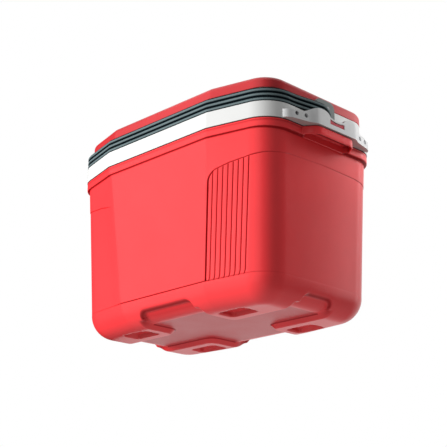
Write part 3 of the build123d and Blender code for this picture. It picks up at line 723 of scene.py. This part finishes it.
def make_lid_cap():
    """The red lid: a soft-edged cap with a shallow panel let into its top."""
    low, top, r, i = LID_SEAM_Z, LID_TOP_Z, LID_TOP_ROUND, LID_INSET
    edge, panel = LID_PANEL_INSET, LID_TOP_Z - LID_PANEL_DEPTH
    profile = [(26, low + 0.1), (i + 1.0, low + 0.1), (i + 0.35, low + 0.3), (i + 0.05, low + 0.8),
               (i, low + 1.6), (i, low + 5), (i, top - r)]
    profile += [(i + r * (1 - math.cos(a)), top - r + r * math.sin(a))
                for a in map(math.radians, range(9, 91, 9))]
    profile += [(25, top), (edge - 2.2, top), (edge - 1.0, top - 0.08), (edge - 0.35, top - 0.4),
                (edge, top - 1.0), (edge + 0.45, top - 1.4), (edge + 1.3, panel), (edge + 3, panel),
                (edge + 14, panel)]
    return closed_stack("lid_shell", ring_rows(RIM_PLAN, profile), low + 0.1, panel)


def make_lid_tray():
    """The white underside of the lid with its plug."""
    top, low, foot = LID_SEAM_Z - 0.1, LID_BOTTOM_Z, PLUG_BOTTOM_Z
    i = TRAY_INSET
    profile = [(26, top), (i + 1.0, top), (i + 0.3, top - 0.3), (i, top - 1.0), (i, 333), (i, 326),
               (i, low + 1.6), (i + 0.1, low + 0.9), (i + 0.45, low + 0.35), (i + 1.1, low),
               (i + 4, low), (22, low)]
    outer = ring_rows(RIM_PLAN, profile)
    plug = [rounded_rectangle(outer[-1], LINER_TOP_PLAN, -PLUG_GAP - inset, z) for inset, z in (
        (-1.6, low), (-0.6, low - 0.15), (0, low - 0.8), (0, 312), (0, 305), (0, foot + 5),
        (0.5, foot + 2.8), (1.8, foot + 1.1), (3.6, foot + 0.2), (5.5, foot), (14, foot))]
    return closed_stack("lid_underside", np.concatenate([outer, plug]), top, foot)


def make_gasket():
    """The seal under the lid, round in section."""
    mid, half = GASKET_INSET + GASKET_WIDTH / 2, GASKET_WIDTH / 2 - 0.1
    profile = [(mid + half * math.cos(a), 318.65 + 1.1 * math.sin(a))
               for a in np.linspace(0, math.tau, 13)[:-1]]
    return tube("lid_seal", ring_rows(RIM_PLAN, profile), closed=True)


# Handle
def handle_section(thick, height, ribs):
    """The band's section: outwards, upwards from its lower inner edge, and shade between the ribs."""
    scale, valley = height / HANDLE_HEIGHT, thick - RIB_PROUD * ribs
    rows = []
    for k in range(3):
        middle = RIB_HEIGHT / 2 + RIB_PITCH * k
        for t in (-1, -0.96, -0.85, -0.65, -0.35, 0, 0.35, 0.65, 0.85, 0.96, 1):
            rise = (1 - abs(t) ** 2.4) ** 0.5
            x, z = thick - RIB_PROUD * ribs * (1 - rise), (middle + t * RIB_HEIGHT / 2) * scale
            rows.append((x, z, min(1.0, max(0.0, (abs(t) - 0.45) / 0.45))))
        if k < 2:
            rows.append((valley - 0.15, (middle + RIB_PITCH / 2) * scale, 1.0))
    rows += [(valley - 0.15, height - 0.7, 1.0), (valley - 0.8, height, 0.8)]
    rows += [(x, z, 0.4) for x, z in (
        (3.2, height), (1.6, height), (0.6, height - 0.35), (0.12, height - 0.9), (0, height - 1.6),
        (0, height * 0.66), (0, height * 0.33), (0, 1.6), (0.12, 0.9), (0.6, 0.35), (1.6, 0), (3.2, 0))]
    return np.array(rows + [(valley - 0.8, 0.0, 0.8)])


def handle_loop(origin, out=(1, 0, 0), up=(0, 0, 1), thick=ARM_OUTER_X - ARM_INNER_X,
                height=HANDLE_HEIGHT, ribs=1.0):
    """The section set at origin, with its two directions in space."""
    section = handle_section(thick, height, ribs)
    return origin + section[:, :1] * np.array(out, float) + section[:, 1:2] * np.array(up, float)


def make_handle():
    """The bail, from the toe of its left leg round the front to the toe of its right one."""
    bottom, start_in = HANDLE_BOTTOM_Z, RIM_PLAN[0] - HANDLE_THICK
    xy, normal, _ = quarter(PLAIN, RIM_PLAN, HANDLE_THICK, np.full((1, PLAIN.size), bottom))
    right = [handle_loop((x, y, bottom), (*out, 0), thick=HANDLE_THICK)
             for (x, y), out in zip(xy[0], normal[0]) if y < FLARE_START_Y - 0.5]
    turn_y, turn_r = -15.0, 3.0
    for y in np.linspace(FLARE_START_Y, turn_y, 34):
        x_out = on_curve(y, [(FLARE_START_Y, RIM_PLAN[0]), (-55, RIM_PLAN[0]), (-42, ARM_OUTER_X),
                             (-6, ARM_OUTER_X)], 80)
        x_in = on_curve(y, [(-66, start_in), (-52, start_in), (-39, ARM_INNER_X),
                            (-25, ARM_INNER_X)], 60)
        right.append(handle_loop((x_in, y, bottom), thick=x_out - x_in))
    for a in np.linspace(0, math.pi / 2, 19)[1:]:
        up = (0, math.sin(a), math.cos(a))
        origin = (ARM_INNER_X, turn_y + turn_r * up[1], bottom - turn_r + turn_r * up[2])
        right.append(handle_loop(origin, up=up))
    left_y, round_r, up = turn_y + turn_r, HANDLE_HEIGHT / 2, (0, 1, 0)
    right += [handle_loop((ARM_INNER_X, left_y, z), up=up) for z in (311, 307.5)]
    for a in map(math.radians, range(0, 81, 10)):
        z, height = ARM_BOTTOM_Z + round_r - round_r * math.sin(a), HANDLE_HEIGHT * math.cos(a)
        origin = (ARM_INNER_X, left_y + (HANDLE_HEIGHT - height) / 2, z)
        right.append(handle_loop(origin, up=up, height=height, ribs=math.cos(a)))
    right = np.array(right)
    loops = np.concatenate([right[:0:-1] * (-1, 1, 1), right])
    shade = handle_section(HANDLE_THICK, HANDLE_HEIGHT, 1.0)[:, 2]
    return tube("handle_bail", loops, marks=np.tile(shade, len(loops)))


# Brackets and buttons
def hump_height(y):
    """The bracket's upper edge: humps either side of a dipped saddle, then the long wings."""
    peak_y, peak_z = HUMP_PEAK
    if y <= SADDLE_HALF:
        return SADDLE_Z[0] + (SADDLE_Z[1] - SADDLE_Z[0]) * (y / SADDLE_HALF) ** 2
    if y <= peak_y:
        return on_curve(y, [(SADDLE_HALF, SADDLE_Z[1]), (SADDLE_HALF + 4, peak_z - 1),
                            (peak_y - 10, peak_z), HUMP_PEAK])
    return on_curve(y, [HUMP_PEAK, (peak_y + 23, peak_z), (WING_TOP_Y - 18, WING_TOP_Z),
                        (WING_TOP_Y, WING_TOP_Z)])


def bracket_out(y):
    """The bracket's outer face: bowed out over the middle, with wings closing on the rim."""
    (root_y, root_x), (tip_y, tip_x) = WING_ROOT, WING_TIP
    if y <= BRACKET_FLAT_HALF:
        return BRACKET_OUT_X
    if y <= root_y:
        return on_curve(y, [(BRACKET_FLAT_HALF, BRACKET_OUT_X), (BRACKET_FLAT_HALF + 9, BRACKET_OUT_X),
                            (root_y - 9, root_x - 9 * WING_LEAN), WING_ROOT])
    if y <= tip_y:
        return wing_face(y)
    return on_curve(y, [WING_TIP, (tip_y + 11, tip_x + 11 * WING_LEAN), (WING_END_Y - 2.5, 245.0),
                        (WING_END_Y, 240.4)], 60)


def wing_face(y):
    return WING_ROOT[1] + WING_LEAN * (y - WING_ROOT[0])


def window_top(y, half, top):
    """The upper edge of the window or of the button, which dips in the middle."""
    return top - WINDOW_DIP * max(0.0, 1 - (y / half) ** 2)


def make_bracket(side):
    """The white side plate, with its window for the button and its long wings."""
    bay = BRACKET_BAY_HALF
    half = [0, 2.5, 5, 7.5, 10, 12.5, 15, 17, 18, 19, 20.2, 21.6, 23.2, 25, 27, 29.5, 32, 34.5, 37, 40,
            43, 46, bay - 0.1, bay + 0.1, 50.5, 53, 55.5, 58, 60, 62, 64, 67, 70, 73, 76, 80, 84, 87, 90,
            93, 96, 98.5, 101, 103, 104.6, 105.7, 106.5, 106.9]
    ys = [-v for v in half[:0:-1]] + half
    base, floor, back = COLLAR_TOP_Z + 0.15, COLLAR_TOP_Z + BRACKET_FLOOR, BRACKET_BACK_X
    loops = []
    for y in ys:
        out, top = bracket_out(abs(y)), hump_height(abs(y))
        low = float(np.interp(abs(y), [0, *WING_STEP_Y], [base, base, base + 0.1]))
        share = np.clip((abs(y) - WINDOW_HALF) / 26, 0, 1)
        z_a = WINDOW_Z[0] * (1 - share) + (low + 0.36 * (top - low)) * share
        z_b = window_top(y, WINDOW_HALF, WINDOW_Z[1]) * (1 - share) + (low + 0.7 * (top - low)) * share
        loop = [(out, low), (out, z_a), (out, z_b), (out, top)]
        if abs(y) < bay:
            loop += [(BRACKET_IN_X, h) for h in (top, z_b, z_a, floor)] + [(back, floor), (back, low)]
        else:
            loop += [(back, h) for h in np.linspace(min(top, 316.4), low, 6)]
        loops.append([(side * x, y, z) for x, z in loop])
    loops = np.array(loops)
    rows, columns = loops.shape[:2]
    faces = []
    window = [abs(y) <= WINDOW_HALF + 0.01 for y in ys]
    for i in range(rows - 1):
        here, ahead = i * columns, (i + 1) * columns
        open_here = window[i] and window[i + 1]
        for j in range(columns):
            k = (j + 1) % columns
            if not (open_here and j in (1, 5)):
                faces.append((here + j, here + k, ahead + k, ahead + j))
        if open_here:
            faces += [(here + j, ahead + j, ahead + k, here + k) for j, k in ((1, 6), (2, 5))]
    for i in (window.index(True), rows - 1 - window[::-1].index(True)):
        faces.append(tuple(i * columns + j for j in (1, 2, 5, 6)))
    faces += [tuple(range(columns)), tuple(reversed(range((rows - 1) * columns, rows * columns)))]
    piece = make_mesh(sided("bracket", side), loops, faces)
    drill(piece, side)
    return bevelled(piece, 0.8, 3, 32)


def drill(piece, side):
    """Sinks a well and a clearance hole for each bracket screw."""
    stacks = []
    for y in [end * mark for mark in SCREW_Y for end in (-1, 1)]:
        seat = wing_face(abs(y)) - SCREW_SEAT_DEPTH
        for radius, x_low, x_high in ((SCREW_WELL_RADIUS, seat, BRACKET_OUT_X + 4),
                                      (SCREW_HOLE_RADIUS, BRACKET_BACK_X - 1.3, seat + 0.5)):
            ring = [(y + radius * math.cos(a), SCREW_Z + radius * math.sin(a))
                    for a in (math.tau * i / 28 for i in range(28))]
            stacks.append([[(side * x, *point) for point in ring] for x in (x_low, x_high)])
    cutter = tube("cutter", *stacks)
    put(piece.modifiers.new("wells", "BOOLEAN"), object=cutter, operation="DIFFERENCE", solver="EXACT",
        use_self=True)
    graph = bpy.context.evaluated_depsgraph_get()
    drilled = bpy.data.meshes.new_from_object(piece.evaluated_get(graph))
    piece.modifiers.clear()
    piece.data = drilled
    bpy.data.objects.remove(cutter)


def make_button(side):
    """The red push button: a crowned face in the window and a flange behind the wall."""
    half, low = WINDOW_HALF - BUTTON_FIT, WINDOW_Z[0] + BUTTON_FIT
    back, front = BRACKET_IN_X - 0.3, BRACKET_OUT_X - 0.8
    face = []
    for y in np.linspace(-half, half, 19):
        high = window_top(y, half, WINDOW_Z[1] - BUTTON_FIT)
        loop = [(front - 0.8, low), (front, low + 0.8), (front, high - 0.8), (front - 0.8, high),
                (back, high), (back, low)]
        face.append([(side * x, y, z) for x, z in loop])
    z_low, z_high = WINDOW_Z[0] - 2.5, SADDLE_Z[0] - 0.6
    section = [(back - 1.6, z_low), (back, z_low), (back, z_high), (back - 1.6, z_high)]
    flange = [[(side * x, y, z) for x, z in section] for y in (-half - 2.5, half + 2.5)]
    return bevelled(tube(sided("button", side), face, flange), 0.4, 2, 40)


# Materials
def node(tree, kind, inputs=None, **settings):
    """The outputs of a new node; each input is a plain value or is linked from another's output."""
    made = put(tree.nodes.new("ShaderNode" + kind), **settings)
    for key, value in (inputs or {}).items():
        if isinstance(value, bpy.types.NodeSocket):
            tree.links.new(value, made.inputs[key])
        else:
            made.inputs[key].default_value = value
    return made.outputs


def new_material(name):
    """An empty material and its node tree."""
    material = bpy.data.materials.new(name)
    material.use_nodes = True
    material.node_tree.nodes.clear()
    return material, material.node_tree


def noise(tree, where, scale, detail, **inputs):
    inputs = {"Vector": where, "Scale": scale, "Detail": detail, **inputs}
    return node(tree, "TexNoise", inputs)["Fac"]


def ranged(tree, value, **ends):
    """The value's span from_min to from_max spread over to_min to to_max."""
    inputs = {key.replace("_", " ").title(): end for key, end in ends.items()}
    return node(tree, "MapRange", {"Value": value, **inputs})["Result"]


def coated(tree, share, under, over):
    """The colour under, with the plain colour over laid on it by share."""
    inputs = {0: share, "A": under, "B": (*over, 1)}
    return node(tree, "Mix", inputs, data_type="RGBA")["Result"]


def bumped(tree, height, strength, distance, **inputs):
    inputs = {"Height": height, "Strength": strength, "Distance": distance, **inputs}
    return node(tree, "Bump", inputs)["Normal"]


def ramped(tree, share, low, high, ends=(0.0, 1.0)):
    ramp = tree.nodes.new("ShaderNodeValToRGB")
    tree.links.new(share, ramp.inputs["Fac"])
    for stop, place, colour in zip(ramp.color_ramp.elements, ends, (low, high)):
        stop.position, stop.color = place, (*colour, 1)
    return ramp.outputs["Color"]


def moulded(name, colour, rough=0.4, grain=0.25, worn=0.25, painted_shade_colour=None, specular=0.5, shift=0.05,
            grain_size=900.0, under=None):
    """Moulded plastic: slow colour drift, fine grain, faint scuffs and lighter worn edges; painted shade
    in marked creases, and painted light and shade on faces that look down.
    """
    material, tree = new_material(name)
    where = node(tree, "TexCoord")["Object"]
    surface = node(tree, "NewGeometry")
    drift = noise(tree, where, 9.0, 5.0, Roughness=0.6)
    tint = ramped(tree, drift, [c * (1 - shift) for c in colour],
                  [min(1, c * (1 + shift)) for c in colour], (0.3, 0.7))
    if under:
        # Painted light and shade on faces that look down: a lighter colour on the red base, a darker one
        # under the brackets
        axes = node(tree, "SeparateXYZ", {0: surface["True Normal"]})
        tint = coated(tree, ranged(tree, axes["Z"], from_min=-0.93, from_max=-0.99), tint, under)
    if painted_shade_colour:
        # Painted shade: creases, seams and rib valleys marked by the line attribute are darkened towards
        # the shade colour and lose their gloss
        line = node(tree, "Attribute", attribute_name="line")["Fac"]
        tint = coated(tree, line, tint, painted_shade_colour)
        specular = ranged(tree, line, to_min=specular, to_max=0.0)
    edges = ranged(tree, surface["Pointiness"], from_min=0.53, from_max=0.62, to_max=worn)
    tint = coated(tree, edges, tint, [c + (1 - c) * 0.22 for c in colour])
    smear = noise(tree, where, 26.0, 4.0)
    height = bumped(tree, noise(tree, where, grain_size, 3.0, Roughness=0.65), grain, 0.0002)
    sink = bumped(tree, noise(tree, where, 14.0, 2.0), 0.12, 0.0012, Normal=height)
    shader = node(tree, "BsdfPrincipled", {
        "Base Color": tint, "Specular IOR Level": specular, "Normal": sink,
        "Roughness": ranged(tree, smear, to_min=rough - 0.05, to_max=rough + 0.05)})
    node(tree, "OutputMaterial", {0: shader[0]})
    return material


def metal(name, colour, rough):
    """Brushed steel with fine streaks and dull patches."""
    material, tree = new_material(name)
    where = node(tree, "TexCoord")["Object"]
    stretch = node(tree, "Mapping", {"Vector": where, "Scale": (40.0, 900.0, 900.0)})
    streak = noise(tree, stretch["Vector"], 1.0, 4.0)
    shader = node(tree, "BsdfPrincipled", {
        "Metallic": 1.0, "Base Color": ramped(tree, streak, [c * 0.8 for c in colour], colour),
        "Roughness": ranged(tree, streak, to_min=rough - 0.08, to_max=rough + 0.08),
        "Normal": bumped(tree, streak, 0.3, 0.0001)})
    node(tree, "OutputMaterial", {0: shader[0]})
    return material


# Red: painted shade in its creases, and painted light on its base through the lighter under colour
red = moulded("red_moulding", (0.85, 0.04, 0.046), rough=0.32, painted_shade_colour=(0.28, 0.005, 0.007),
              under=(0.95, 0.045, 0.055))
# The lid is the same red plastic as the body; its darker colour is painted shade
lid_red_painted_shade = moulded("lid_moulding_painted_shade", (0.5, 0.027, 0.032), rough=0.34)
red_button = moulded("button_moulding", (0.5, 0.035, 0.055))
# White: painted shade along the rim's lower seam
white = moulded("white_moulding", (0.64, 0.64, 0.63), rough=0.36, shift=0.015,
                painted_shade_colour=(0.1, 0.06, 0.055))
# A copy of the white moulding with painted shade on the brackets' undersides
bracket_white = moulded("bracket_moulding", (0.66, 0.66, 0.66), rough=0.36, shift=0.015,
                        under=(0.42, 0.37, 0.35))
# The ears are white plastic; this dark grey is painted shade
ear_white_painted_shade = moulded("ear_moulding_painted_shade", (0.17, 0.19, 0.185), rough=0.42, shift=0.02)
liner_white = moulded("liner_moulding", (0.8, 0.81, 0.8), shift=0.02)
# The handle: painted near-black shade in the valleys between its ribs
dark = moulded("handle_moulding", (0.12, 0.16, 0.168), rough=0.36, shift=0.1, grain=0.35, worn=0.1,
               painted_shade_colour=(0.0025, 0.006, 0.008), specular=0.28)
foam = moulded("foam_filling", (0.8, 0.72, 0.5), rough=0.9, grain=0.9, grain_size=420.0, shift=0.06)
rubber = moulded("seal_rubber", (0.035, 0.035, 0.036), rough=0.62, grain=0.5, shift=0.15)
pack = moulded("pack_moulding", (0.62, 0.78, 0.9), rough=0.45, shift=0.03)
pack_cap = moulded("pack_cap_moulding", (0.03, 0.12, 0.42), shift=0.06)
steel = metal("fastener_steel", (0.62, 0.62, 0.64), 0.32)

# Pieces
give(make_shell(), red, "box", "red_plastic", "outer_shell")
for side in (1, -1):
    weighted(give(make_grip(side), red, "box", "red_plastic"))
    give(make_ear(side), ear_white_painted_shade, "box", "white_plastic")
    give(make_bracket(side), bracket_white, "box", "white_plastic", sided("side_bracket", side))
    button = sided("lock_button", side)
    give(make_button(side), red_button, button, "button_plastic", button)
weighted(give(make_rim(), white, "box", "white_plastic", "rim_frame"))
give(make_core(), foam, "box", "foam", "body_insulation")
weighted(give(make_lid_cap(), lid_red_painted_shade, "lid", "red_plastic", "lid_cap"))
weighted(give(make_lid_tray(), white, "lid", "white_plastic", "lid_tray"))
give(make_gasket(), rubber, "lid", "rubber", "lid_gasket")
handle_nodes = sorted(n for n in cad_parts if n.startswith("handle_") and "pin" not in n)
give(make_handle(), dark, "handle", "handle_plastic", *handle_nodes)

LOOKS = {
    "lid_insulation": foam, "inner_liner": liner_white, "bracket_screws": steel,
    "handle_pin": steel, "hinge": steel, "ice_pack_caps": pack_cap, "ice_pack": pack,
}
for name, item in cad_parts.items():
    if item.hide_render:
        continue
    look = next(LOOKS[key] for key in LOOKS if name.startswith(key))
    slots = item.data.materials
    for index in range(len(slots)):
        slots[index] = look
    if not slots:
        slots.append(look)


# Stage, light and camera
FLOOR_HALF = 6.0
PAPER_WHITE = (0.92, 0.92, 0.92, 1)
FOCAL_LENGTH = 89.67


def make_floor():
    """A pale floor that is seen only from above, so the base can be looked at from below."""
    mesh = bpy.data.meshes.new("floor")
    work = bmesh.new()
    bmesh.ops.create_grid(work, x_segments=24, y_segments=24, size=FLOOR_HALF)
    work.to_mesh(mesh)
    work.free()
    floor = add("floor", mesh)
    floor.location = (0, 0, -0.0004)
    material, tree = new_material("floor_paint")
    clear = node(tree, "BsdfTransparent")
    paint = node(tree, "BsdfDiffuse", {"Color": PAPER_WHITE})
    back = node(tree, "NewGeometry")["Backfacing"]
    front = node(tree, "Math", {0: 1.0, 1: back}, operation="SUBTRACT")[0]
    camera_ray = node(tree, "LightPath")["Is Camera Ray"]
    seen = node(tree, "Math", {0: camera_ray, 1: front}, operation="MULTIPLY")
    mix = node(tree, "MixShader", {0: seen[0], 1: clear[0], 2: paint[0]})
    node(tree, "OutputMaterial", {0: mix[0]})
    mesh.materials.append(material)


def make_world():
    """White where it is seen or mirrored, and a plain half-light where it lights."""
    world = bpy.data.worlds.new("studio")
    bpy.context.scene.world = world
    world.use_nodes = True
    tree = world.node_tree
    tree.nodes.clear()
    path = node(tree, "LightPath")
    where = node(tree, "TexCoord")["Generated"]
    rise = node(tree, "SeparateXYZ", {0: where})["Z"]
    above = ranged(tree, rise, from_min=-0.54, from_max=-0.29)
    share = node(tree, "Math", {0: path["Is Glossy Ray"], 1: above}, operation="MULTIPLY")
    for ray in ("Is Camera Ray", "Is Transmission Ray"):
        share = node(tree, "Math", {0: path[ray], 1: share[0]}, operation="MAXIMUM")
    level = ranged(tree, rise, from_min=-1.0, to_min=0.43, to_max=0.26)
    fill = node(tree, "Background", {"Color": (1, 1, 1, 1), "Strength": level})
    seen = node(tree, "Background", {"Color": (1, 1, 1, 1), "Strength": 1.0})
    mix = node(tree, "MixShader", {0: share[0], 1: fill[0], 2: seen[0]})
    node(tree, "OutputWorld", {0: mix[0]})


def make_lamp(name, place, target, size, power, tall=None, **hidden):
    """An area lamp, round unless tall is given; hidden turns off the rays that see it."""
    data = put(bpy.data.lights.new(name, "AREA"), shape="RECTANGLE" if tall else "DISK",
               size=size, size_y=tall or size, energy=power)
    lamp = put(add(name, data), location=place, **hidden)
    lamp.rotation_euler = (Vector(target) - Vector(place)).to_track_quat("-Z", "Y").to_euler()


def make_flag(name, x, y_low, y_high, z_low=-0.9, z_high=1.7):
    """A black card that only keeps the white surround out of mirrored light."""
    mesh = bpy.data.meshes.new(name)
    corners = [(x, y_low, z_low), (x, y_high, z_low), (x, y_high, z_high), (x, y_low, z_high)]
    mesh.from_pydata(corners, [], [(0, 1, 2, 3)])
    flag = add(name, mesh)
    material, tree = new_material(name + "_cloth")
    cloth = node(tree, "BsdfPrincipled", {"Base Color": (0.01, 0.01, 0.01, 1), "Roughness": 1.0})
    node(tree, "OutputMaterial", {0: cloth[0]})
    mesh.materials.append(material)
    flag.visible_camera = flag.visible_diffuse = flag.visible_shadow = False


make_floor()
make_world()
make_flag("flag_right", 1.0, -1.3, 1.35)
make_flag("flag_left", -1.4, -0.95, 0.9)
make_lamp("key", (-1.08, -2.43, 0.5), (0, 0, 0.15), 1.2, 103.0, visible_glossy=False)
make_lamp("side", (0.42, 0.32, 0.46), (0.24, 0.1, 0.25), 0.25, 1.1, visible_glossy=False)
# A tall strip that is only mirrored, and a weak lamp that lifts the faces that look down
make_lamp("gleam", (0.35, 0.28, 0.24), (0.22, 0.11, 0.2), 0.12, 0.32, tall=0.5, visible_diffuse=False,
          visible_camera=False)
make_lamp("below", (0.05, -0.05, -0.45), (0.05, -0.05, 0), 0.5, 0.3, visible_glossy=False,
          visible_camera=False)

camera_data = put(bpy.data.cameras.new("camera"), sensor_width=36.0, lens=FOCAL_LENGTH,
                  clip_start=0.05, clip_end=50.0)
camera = put(add("camera", camera_data), location=(1.3100, -1.3116, -0.4181),
             rotation_euler=(math.radians(90 + 18.276), 0.0, math.radians(44.915)))
bpy.context.scene.camera = camera
bpy.context.scene.view_settings.view_transform = "Standard"
